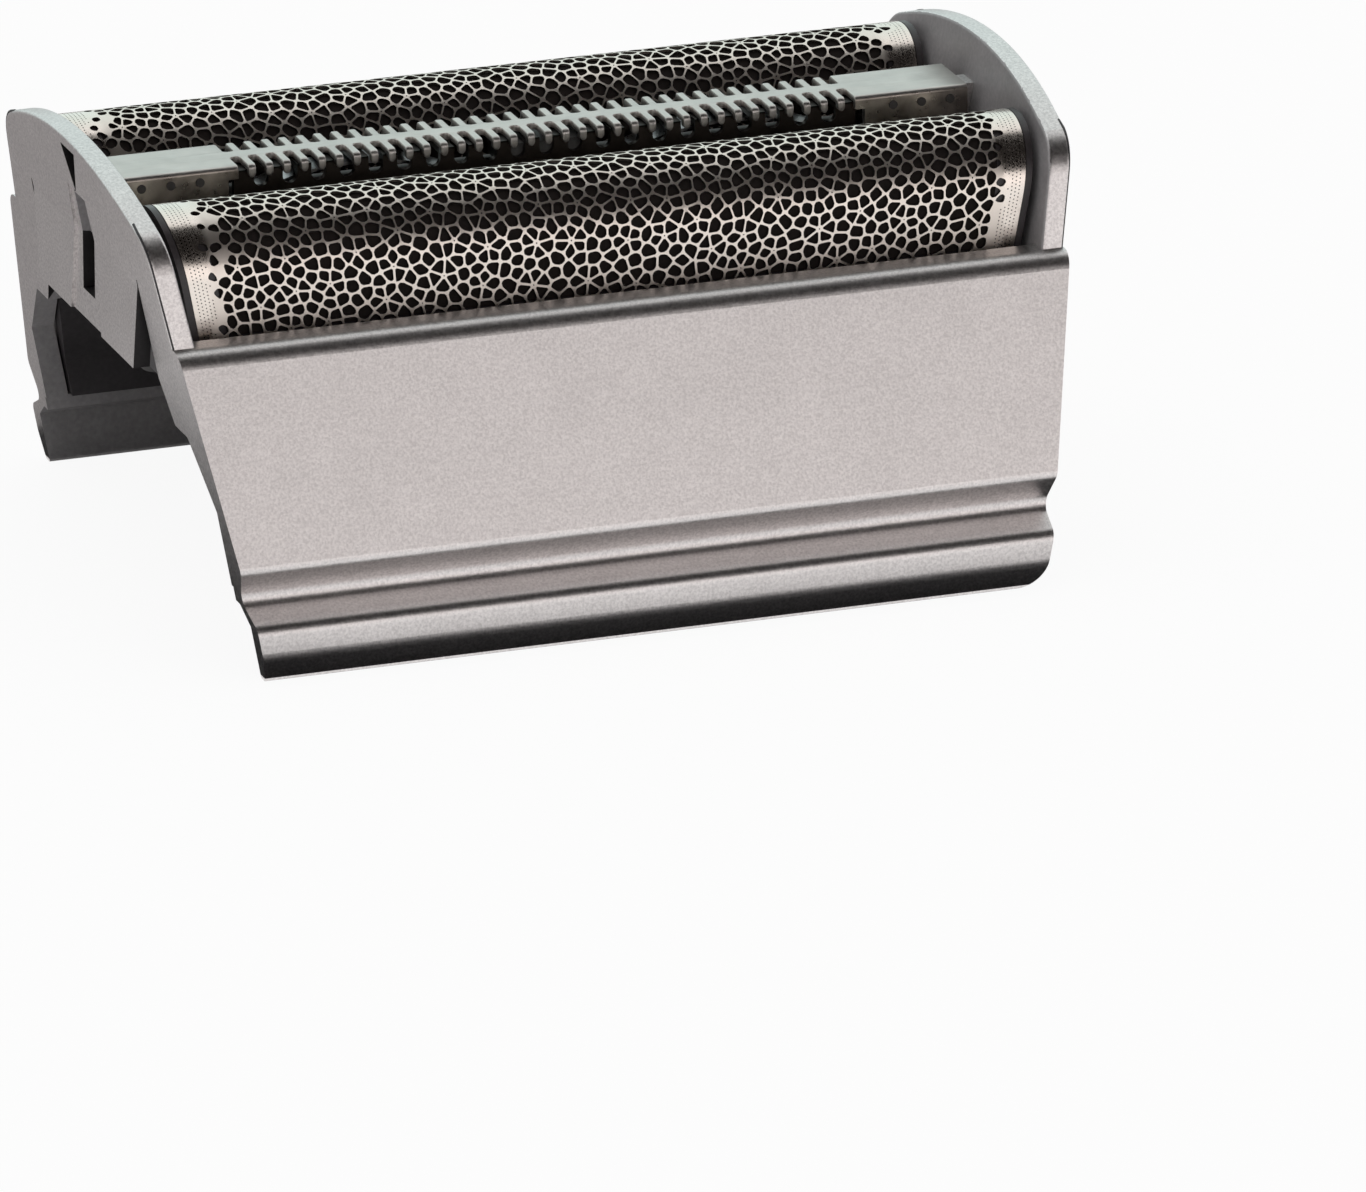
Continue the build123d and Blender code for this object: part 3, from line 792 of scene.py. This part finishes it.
wrapTree = makeWrapTree()
foilSides = {"front": -1, "back": 1}
foilSeeds = {"front": 11, "back": 23}
for place, side in foilSides.items():
    foil = runTree(f"{place}_foil_mesh", perforatedSheet(foilSize, foilSeeds[place]), wrapTree, {
        "Radius": foilSize["radius"] * mm,
        "Sheet": foilSize["sheet"] * mm,
        "Axis height": foilSize["axisHeight"] * mm,
        "Side offset": side * foilSize["offset"] * mm,
        "End half": endHalf(head["rollHeight"], foilSize["endInset"]) * mm,
        "End lean": head["endLean"],
        "Lean height": head["rollHeight"] * mm,
        "Outer face": foilNickel,
        "Hole wall": shadedFoilEdge,
        "Inner face": shadedFoilInside,
    })
    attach(foil, f"{place}_foil_unit")
    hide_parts(f"{place}_foil")
    print(place, "foil:", len(foil.data.polygons), "faces")

# thin dark film under each foil, between the carrier's end plates and above its rails: painted shade, a dark
# sheet that makes the holes read dark from every side
filmSize = {
    "gap": 0.03,
    "sheet": 0.05,
    "endInset": 3.83,
    "foot": 17.45,
    "arcSteps": 28,
}


def filmMesh(side, size, foil):
    outer = foil["radius"] - foil["sheet"] - size["gap"]
    ring = []
    for radius, turn in ((outer, 1), (outer - size["sheet"], -1)):
        path = [(-radius, size["foot"])]
        for step in range(size["arcSteps"] + 1):
            angle = math.pi * (step / size["arcSteps"] - 0.5)
            path.append((radius * math.sin(angle), foil["axisHeight"] + radius * math.cos(angle)))
        path.append((radius, size["foot"]))
        ring += path[::turn]
    points = []
    for end in (-1, 1):
        for y, z in ring:
            x = end * endHalf(z, size["endInset"])
            points.append((x * mm, (side * foil["offset"] + y) * mm, z * mm))
    count = len(ring)
    faces = [(k, (k + 1) % count, count + (k + 1) % count, count + k) for k in range(count)]
    for k in range(count // 2 - 1):
        a, b, c, d = k, k + 1, count - 2 - k, count - 1 - k
        faces += [(a, d, c, b), (count + a, count + b, count + c, count + d)]
    mesh = newMesh("film", points, faces)
    work = bmesh.new()
    work.from_mesh(mesh)
    bmesh.ops.recalc_face_normals(work, faces=work.faces)
    work.to_mesh(mesh)
    work.free()
    return mesh


for place, side in foilSides.items():
    film = keepPiece(f"{place}_foil_film", filmMesh(side, filmSize, foilSize))
    dress(film, holeShadeFilm)
    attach(film, f"{place}_foil_unit")
print("foil films made")

combSize = {
    "top": 23.7,
    "half": 2.15,
    "sheet": 0.35,
    "bend": 0.3,
    "bendSteps": 6,
    "tip": 22.95,
    "tipSteps": 6,
    "tipEdge": 0.5,
    "foot": 20.6,
    "span": 49.8,
    "pitch": 1.02,
    "gap": 0.57,
    "slotSteps": 8,
    "teeth": 35,
    "spineHalf": 0.45,
    "edge": 0.1,
    "edgeShare": 0.3,
    "flangeStart": 18.7,
    "flangeStep": 0.01,
    "sideReach": 18.0,
    "upright": 0.8,
}


def combPath(size, low):
    # half of the comb's section, from the middle out and down: place across, height, outward direction
    path = [(0.0, size["top"], 0.0)]
    slotHalf, bend = size["gap"] / 2, size["bend"]
    for step in range(size["slotSteps"] + 1):
        angle = math.pi / 2 * step / size["slotSteps"]
        path.append((size["spineHalf"] + slotHalf - slotHalf * math.cos(angle), size["top"], 0.0))
    for step in range(size["bendSteps"] + 1):
        angle = math.pi / 2 * step / size["bendSteps"]
        across = size["half"] - bend + bend * math.sin(angle)
        path.append((across, size["top"] - bend * (1 - math.cos(angle)), angle))
    path.append((size["half"], low, math.pi / 2))
    return path


def toothHalf(size, across):
    # half width of a tooth: it widens round the slot's end until it meets the spine
    slotHalf = size["gap"] / 2
    past = size["spineHalf"] + slotHalf - abs(across)
    slot = slotHalf if past <= 0 else math.sqrt(max(slotHalf ** 2 - past ** 2, 0.0))
    return size["pitch"] / 2 - slot


def ringPoints(place, left, right, edgeLeft, edgeRight, size, side):
    # section across a tooth or pad: rounded outer edges, square inner ones
    across, height, angle = place
    share = size["edgeShare"]
    ring = []
    for x, depth in (
        (left, size["sheet"]),
        (left, edgeLeft),
        (left + share * edgeLeft, share * edgeLeft),
        (left + edgeLeft, 0.0),
        (right - edgeRight, 0.0),
        (right - share * edgeRight, share * edgeRight),
        (right, edgeRight),
        (right, size["sheet"]),
    ):
        y = across - depth * math.sin(angle)
        z = height - depth * math.cos(angle)
        ring.append((x * mm, side * y * mm, z * mm))
    return ring


def skinRings(rings, points, faces, flip):
    # walls between following rings and a cap on the last one
    count = len(rings[0])
    base = len(points)
    for ring in rings:
        points.extend(ring)
    for level in range(len(rings) - 1):
        for k in range(count):
            a, b = base + level * count + k, base + level * count + (k + 1) % count
            face = (a, b, b + count, a + count)
            faces.append(face[::-1] if flip else face)
    cap = tuple(base + (len(rings) - 1) * count + k for k in range(count))
    faces.append(cap[::-1] if flip else cap)


def toothMesh(size):
    points, faces = [], []
    tipRound = toothHalf(size, size["half"])
    for side in (-1, 1):
        rings = []
        for place in combPath(size, size["tip"] + tipRound):
            half = toothHalf(size, place[0])
            edge = min(size["edge"], size["pitch"] / 2 - half)
            rings.append(ringPoints(place, -half, half, edge, edge, size, side))
        # rounded tip
        for step in range(1, size["tipSteps"]):
            angle = math.pi / 2 * step / size["tipSteps"]
            half = tipRound * math.cos(angle)
            place = (size["half"], size["tip"] + tipRound * (1 - math.sin(angle)), math.pi / 2)
            edge = min(size["edge"], half * size["tipEdge"])
            rings.append(ringPoints(place, -half, half, edge, edge, size, side))
        skinRings(rings, points, faces, side > 0)
    return newMesh("tooth", points, faces)


def padMesh(size):
    points, faces = [], []
    end, edge = size["span"] / 2, size["edge"]
    inner = (size["teeth"] + 1) / 2 * size["pitch"]
    for mirrored in (-1, 1):
        for side in (-1, 1):
            rings = []
            for place in combPath(size, size["tip"]):
                half = toothHalf(size, place[0])
                slotEdge = min(edge, size["pitch"] / 2 - half)
                rings.append(ringPoints(place, inner - half, end, slotEdge, edge, size, side))
            # upright flange below the pad
            for height in (size["tip"] - size["flangeStep"], size["foot"]):
                place = (size["half"], height, math.pi / 2)
                rings.append(ringPoints(place, size["flangeStart"], end, edge, edge, size, side))
            if mirrored < 0:
                rings = [[(-x, y, z) for x, y, z in ring] for ring in rings]
            skinRings(rings, points, faces, (side > 0) == (mirrored > 0))
    return newMesh("pads", points, faces)


def makeCombTree(size):
    # row of teeth between the pads, with the pads' upright sides in a look of their own
    maker = TreeMaker("comb_row", {
        "Tooth": "Object", "Teeth": "Int", "Pitch": "Float", "Side reach": "Float",
        "Steel": "Material", "Side": "Material",
    })
    given = maker.given
    steps = maker.math("SUBTRACT", given("Teeth"), 1.0)
    start = maker.math("MULTIPLY", maker.math("MULTIPLY", steps, given("Pitch")), -0.5)
    line = maker.make("GeometryNodeMeshLine", {
        "Count": given("Teeth"),
        "Start Location": maker.make("ShaderNodeCombineXYZ", {"X": start}),
        "Offset": maker.make("ShaderNodeCombineXYZ", {"X": given("Pitch")}),
    })
    tooth = maker.add("GeometryNodeObjectInfo", {"Object": given("Tooth")}).outputs["Geometry"]
    row = maker.make("GeometryNodeInstanceOnPoints", {"Points": line, "Instance": tooth})
    whole = maker.join(maker.realize(row), given("Geometry"))
    steel = maker.paint(whole, given("Steel"))
    sideways = maker.math("ABSOLUTE", maker.axis("Normal", "Y"))
    upright = maker.math("GREATER_THAN", sideways, size["upright"])
    along = maker.math("ABSOLUTE", maker.axis("Position", "X"))
    outside = maker.math("GREATER_THAN", along, given("Side reach"))
    return maker.finish(maker.paint(steel, given("Side"), maker.math("MULTIPLY", upright, outside)))


tooth = addObject("tooth_unit", toothMesh(combSize))
comb = runTree("comb_mesh", padMesh(combSize), makeCombTree(combSize), {
    "Tooth": tooth,
    "Teeth": combSize["teeth"],
    "Pitch": combSize["pitch"] * mm,
    "Side reach": combSize["sideReach"] * mm,
    "Steel": combSteel,
    "Side": combSide,
})
bpy.data.objects.remove(tooth)
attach(comb, "trimmer")
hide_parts("trimmer_comb")
print("comb:", len(comb.data.polygons), "faces")

# painted shade: a thin dark line along the outer edges of the rims and skirts, standing in for the dark
# reflection on their rounded edges
edgeSize = {
    "radius": 0.08,
    "sides": 8,
    "rimStart": 10.8,
    "rimSteps": 10,
    "roundSteps": 8,
    "halvings": 50,
    "rimSink": 0.10,
    "startSink": 0.06,
    "skirtSink": 0.055,
    "skirtTop": (15.32, 16.95),
    "skirtFoot": (18.95, 6.3),
}


def rimPath(size):
    # half of the rim's outline from near the crown down to the roll: place across and height
    arch, rounding = head["archRadius"], head["shoulderRadius"]
    crown = head["archHeight"] - arch
    shoulderTop = crown + math.sqrt(arch ** 2 - head["shoulderHalf"] ** 2)
    flank = math.atan2(head["flankHalf"] - head["shoulderHalf"], shoulderTop - head["rollHeight"])
    # centre of the shoulder's rounding, inside the arch and the flank
    low, high = 0.0, head["shoulderHalf"]
    for halving in range(size["halvings"]):
        y = (low + high) / 2
        z = crown + math.sqrt((arch - rounding) ** 2 - y ** 2)
        gap = (head["flankHalf"] - y) * math.cos(flank) - (z - head["rollHeight"]) * math.sin(flank)
        low, high = (y, high) if gap > rounding else (low, y)
    start, end = math.atan2(y, z - crown), math.pi / 2 - flank
    path = []
    for step in range(size["rimSteps"]):
        run = arch * math.sin(start) - size["rimStart"]
        across = size["rimStart"] + run * step / size["rimSteps"]
        path.append((across, crown + math.sqrt(arch ** 2 - across ** 2)))
    for step in range(size["roundSteps"] + 1):
        angle = start + (end - start) * step / size["roundSteps"]
        path.append((y + rounding * math.sin(angle), z + rounding * math.cos(angle)))
    path.append((head["flankHalf"], head["rollHeight"]))
    return path


def edgeMesh(size):
    points, edges = [], []
    skirt = [size["skirtTop"], size["skirtFoot"]]
    runs = [(rimPath(size), size["rimSink"]), (skirt, size["skirtSink"])]
    for endSide in (-1, 1):
        for side in (-1, 1):
            for run, sink in runs:
                edges += [(len(points) + i, len(points) + i + 1) for i in range(len(run) - 1)]
                for i, (y, z) in enumerate(run):
                    # the line rises out of the paint over its first steps
                    deep = sink + size["startSink"] * max(0.0, 1 - i / size["rimSteps"])
                    points.append((endSide * endHalf(z, deep) * mm, side * (y - deep) * mm, z * mm))
    return newMesh("edge_paths", points, [], edges)


def makeEdgeTree():
    maker = TreeMaker("edge_line", {"Radius": "Float", "Sides": "Int", "Dark": "Material"})
    curve = maker.make("GeometryNodeMeshToCurve", {"Mesh": maker.given("Geometry")})
    ring = maker.make("GeometryNodeCurvePrimitiveCircle", {
        "Radius": maker.given("Radius"), "Resolution": maker.given("Sides"),
    })
    tube = maker.make("GeometryNodeCurveToMesh", {
        "Curve": curve, "Profile Curve": ring, "Fill Caps": True,
    })
    return maker.finish(maker.paint(maker.realize(tube), maker.given("Dark")))


edgeLines = runTree("edge_lines", edgeMesh(edgeSize), makeEdgeTree(), {
    "Radius": edgeSize["radius"] * mm,
    "Sides": edgeSize["sides"],
    "Dark": paintedEdgeShade,
})
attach(edgeLines, "frame")
print("edge lines:", len(edgeLines.data.polygons), "faces")

# frame: paint outside; bare plastic inside the skirts, which also serves as painted shade in the recess, the
# wall backs and the leg edges; near-black painted shade in the cut-outs of the ends
cutSize = {
    "tongueFace": 26.4,
    "slitHalf": (8.0, 10.6),
    "slitTop": 20.4,
    "windowHalf": 1.1,
    "windowSpan": (16.5, 19.85),
    "channelSpan": (19.85, 22.25),
    "channelDepth": (0.25, 0.8),
    "notchHalf": 1.25,
    "notchSpan": (22.45, 25.15),
    "notchDepth": (0.02, 1.05),
    "wallDepth": (-0.05, 1.6),
    "wallBack": (1.1, 1.6),
    "slitSlack": 0.05,
    "legFoot": 16.3,
    "skirtStart": 11.0,
    "skirtDepth": 0.2,
    "endFacing": 0.6,
    "sideFacing": 0.25,
    "upFacing": 0.4,
    "downFacing": 0.7,
}


def within(value, span):
    return span[0] < value < span[1]


def frameLook(centre, normal, size):
    # number of the look that a face of the frame takes: 0 paint, 1 bare plastic that is also painted shade,
    # 2 near-black painted shade in the cuts
    x, y, z = (value / mm for value in centre)
    across = abs(y)
    outward = normal.y * (1 if y > 0 else -1)
    onTongue = across < size["slitHalf"][1] and z < size["slitTop"]
    depth = (max(endHalf(z), size["tongueFace"]) if onTongue else endHalf(z)) - abs(x)
    inWall = within(depth, size["wallDepth"]) and abs(normal.x) < size["endFacing"]
    inSlit = inWall and within(across, size["slitHalf"]) and z < size["slitTop"] + size["slitSlack"]
    onWindow = across < size["windowHalf"]
    inWindow = inWall and onWindow and within(z, size["windowSpan"])
    onNotch = across < size["notchHalf"] and within(z, size["notchSpan"])
    # slits, window and notch: near-black painted shade
    if inSlit or inWindow or (onNotch and within(depth, size["notchDepth"])):
        return 2
    inChannel = onWindow and within(z, size["channelSpan"]) and within(depth, size["channelDepth"])
    facesInside = normal.x * x < -size["endFacing"] * abs(x)
    low = z < size["legFoot"]
    onLeg = inWall and low and outward < size["sideFacing"] and normal.z < size["upFacing"]
    turnedIn = outward < -size["sideFacing"] or normal.z < -size["downFacing"]
    inSkirt = across > size["skirtStart"] and low and turnedIn and depth > size["skirtDepth"]
    # bare plastic, and painted shade in the channel, the wall backs and the leg edges
    if inChannel or (facesInside and within(depth, size["wallBack"])) or onLeg or inSkirt:
        return 1
    return 0


def mergedCopy(node, name):
    # copy of a solid's mesh with its triangles joined up and its smooth shading kept
    mesh = nodes[node].data.copy()
    mesh.name = name
    given = [corner.vector.copy() for corner in mesh.corner_normals]
    work = bmesh.new()
    work.from_mesh(mesh)
    layer = work.loops.layers.float_vector.new("shading")
    corners = [loop for face in work.faces for loop in face.loops]
    for corner, normal in zip(corners, given):
        corner[layer] = normal
    bmesh.ops.remove_doubles(work, verts=work.verts, dist=weldGap["copy"])
    kept = [loop[layer].copy() for face in work.faces for loop in face.loops]
    work.loops.layers.float_vector.remove(layer)
    work.to_mesh(mesh)
    work.free()
    mesh.normals_split_custom_set(kept)
    return addObject(name, mesh)


framePiece = mergedCopy("outer_frame", "outer_frame_mesh")
dress(framePiece, flakePaint, bareShadedPlastic, paintedCutShade)
for face in framePiece.data.polygons:
    face.material_index = frameLook(face.center, face.normal, cutSize)
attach(framePiece, "frame")
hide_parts("outer_frame")
print("frame:", len(framePiece.data.polygons), "faces,", len(framePiece.data.vertices), "corners")

# lift springs, which on the real head shorten as the trimmer is pressed down; here each is a fixed merged
# copy riding on the frame
for side in ("left", "right"):
    node = f"{side}_lift_spring"
    coil = mergedCopy(node, f"{side}_lift_coil")
    dress(coil, springSteel)
    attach(coil, "frame")
    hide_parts(node)
    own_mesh(coil)

# studio, in metres
studio = {
    "floorHalf": 6.0,
    "floorColour": (0.93, 0.93, 0.93),
    "floorGlow": 0.93,
    "skyLevel": 0.35,
    "frontTint": (1.22, 1.165, 1.15),
    "backTint": (0.86, 1.0, 0.985),
    "tintStops": (0.2, 0.6, 0.9),
}


def flatPoints(spanX, spanY, height):
    (left, right), (front, back) = spanX, spanY
    return [(left, front, height), (right, front, height), (right, back, height), (left, back, height)]


def seenRays(tree):
    # 1 for rays that see the background directly, in a reflection or through something clear
    path = tree.nodes.new("ShaderNodeLightPath")
    value = path.outputs["Is Camera Ray"]
    for label in ("Is Glossy Ray", "Is Transmission Ray"):
        value = mathNode(tree, "MAXIMUM", value, path.outputs[label])
    return value


def mixShaders(tree, share, first, second, out):
    mix = tree.nodes.new("ShaderNodeMixShader")
    tree.links.new(share, mix.inputs["Fac"])
    tree.links.new(first.outputs[0], mix.inputs[1])
    tree.links.new(second.outputs[0], mix.inputs[2])
    tree.links.new(mix.outputs[0], out.inputs["Surface"])


def makeFloor(size):
    span = (-size["floorHalf"], size["floorHalf"])
    mesh = newMesh("floor", flatPoints(span, span, 0), [(0, 1, 2, 3)])
    floor = addObject("floor", mesh)
    material = bpy.data.materials.new("floor_white")
    material.use_nodes = True
    tree = material.node_tree
    tree.nodes.clear()
    out = tree.nodes.new("ShaderNodeOutputMaterial")
    matte = tree.nodes.new("ShaderNodeBsdfDiffuse")
    matte.inputs["Color"].default_value = (*size["floorColour"], 1)
    glow = tree.nodes.new("ShaderNodeEmission")
    glow.inputs["Color"].default_value = (*white, 1)
    share = mathNode(tree, "MULTIPLY", seenRays(tree), size["floorGlow"])
    mixShaders(tree, share, matte, glow, out)
    mesh.materials.append(material)


def makeSky(size):
    world = bpy.data.worlds.new("studio")
    bpy.context.scene.world = world
    world.use_nodes = True
    tree = world.node_tree
    tree.nodes.clear()
    out = tree.nodes.new("ShaderNodeOutputWorld")
    low = tree.nodes.new("ShaderNodeBackground")
    low.inputs["Color"].default_value = (*white, 1)
    low.inputs["Strength"].default_value = size["skyLevel"]
    # white all round, a little warmer in front and cooler at the back
    bright = tree.nodes.new("ShaderNodeBackground")
    bright.inputs["Strength"].default_value = 1.0
    coords = tree.nodes.new("ShaderNodeTexCoord")
    turn = mapRange(tree, axisOf(tree, coords.outputs["Generated"], "Y"), (-1.0, 1.0))
    tints = (size["frontTint"], white, size["backTint"])
    tree.links.new(ramp(tree, turn, list(zip(size["tintStops"], tints))), bright.inputs["Color"])
    mixShaders(tree, seenRays(tree), low, bright, out)


cards = {
    "front": {"arc": (24, 96), "steps": 8, "half": 2.5, "shade": (0.02, 0.017, 0.016)},
    # floor card: painted contact shadow, a dark patch under the head seen only in reflections
    "floor": {
        "x": (-0.036, 0.036), "y": (-0.0235, 0.0235), "height": 0.0002, "shade": (0.03, 0.03, 0.032),
    },
    "back": {"x": (-0.9, 0.6), "y": (0.0236, 1.2), "height": 0.0001, "shade": (0.52, 0.50, 0.50)},
}


def addCard(name, points, faces, shade):
    # plain card of the studio, seen only in polished surfaces
    mesh = newMesh(name, points, faces)
    card = addObject(name, mesh)
    material = bpy.data.materials.new(name + "_shade")
    material.use_nodes = True
    shader = material.node_tree.nodes["Principled BSDF"]
    shader.inputs["Base Color"].default_value = (*shade, 1)
    shader.inputs["Roughness"].default_value = 1.0
    shader.inputs["Specular IOR Level"].default_value = 0.0
    mesh.materials.append(material)
    for rays in ("camera", "diffuse", "shadow", "transmission"):
        setattr(card, f"visible_{rays}", False)


def makeCards(sizes):
    front = sizes["front"]
    low, high = (math.radians(angle) for angle in front["arc"])
    points, faces = [], []
    for step in range(front["steps"] + 1):
        angle = low + (high - low) * step / front["steps"]
        points += [(x, -math.cos(angle), math.sin(angle)) for x in (-front["half"], front["half"])]
    for k in range(0, 2 * front["steps"], 2):
        faces.append((k, k + 1, k + 3, k + 2))
    addCard("front_card", points, faces, front["shade"])
    for place in ("floor", "back"):
        size = sizes[place]
        points = flatPoints(size["x"], size["y"], size["height"])
        addCard(f"{place}_card", points, [(0, 1, 2, 3)], size["shade"])


lamps = {
    "top_light": {"power": 2.6, "place": (-0.05, 0.20, 0.85), "size": (0.9, 0.7)},
    "front_light": {"power": 3.0, "place": (0.36, -0.94, 0.40), "size": (0.9, 0.4)},
}
lampTarget = (0, 0, 0.01)


def addLamp(name, look, target):
    # soft lamp; polished surfaces mirror the sky instead of it
    lamp = bpy.data.lights.new(name, "AREA")
    lamp.energy = look["power"]
    lamp.shape = "RECTANGLE"
    lamp.size, lamp.size_y = look["size"]
    holder = addObject(name, lamp)
    holder.location = look["place"]
    toTarget = Vector(target) - Vector(look["place"])
    holder.rotation_euler = toTarget.to_track_quat("-Z", "Y").to_euler()
    holder.visible_glossy = False


makeSky(studio)
makeFloor(studio)
makeCards(cards)
for name, look in lamps.items():
    addLamp(name, look, lampTarget)

# camera, fitted to the picture, with its places in millimetres
view = {
    "azimuth": -19.91,
    "elevation": 19.81,
    "distance": 884.5,
    "target": (8.68, 0.0, -5.51),
    "lens": 413.07,
    "sensor": 36,
    "clip": (0.01, 50),
}


def makeCamera(look):
    azimuth, elevation = math.radians(look["azimuth"]), math.radians(look["elevation"])
    level = math.cos(elevation)
    back = Vector((math.sin(azimuth) * level, -math.cos(azimuth) * level, math.sin(elevation)))
    data = bpy.data.cameras.new("camera")
    data.sensor_fit = "HORIZONTAL"
    data.sensor_width = look["sensor"]
    data.lens = look["lens"]
    data.clip_start, data.clip_end = look["clip"]
    camera = addObject("camera", data)
    camera.location = Vector(look["target"]) * mm + back * look["distance"] * mm
    camera.rotation_euler = back.to_track_quat("Z", "Y").to_euler()
    bpy.context.scene.camera = camera


makeCamera(view)
bpy.context.scene.view_settings.view_transform = "Standard"
print("studio ready")
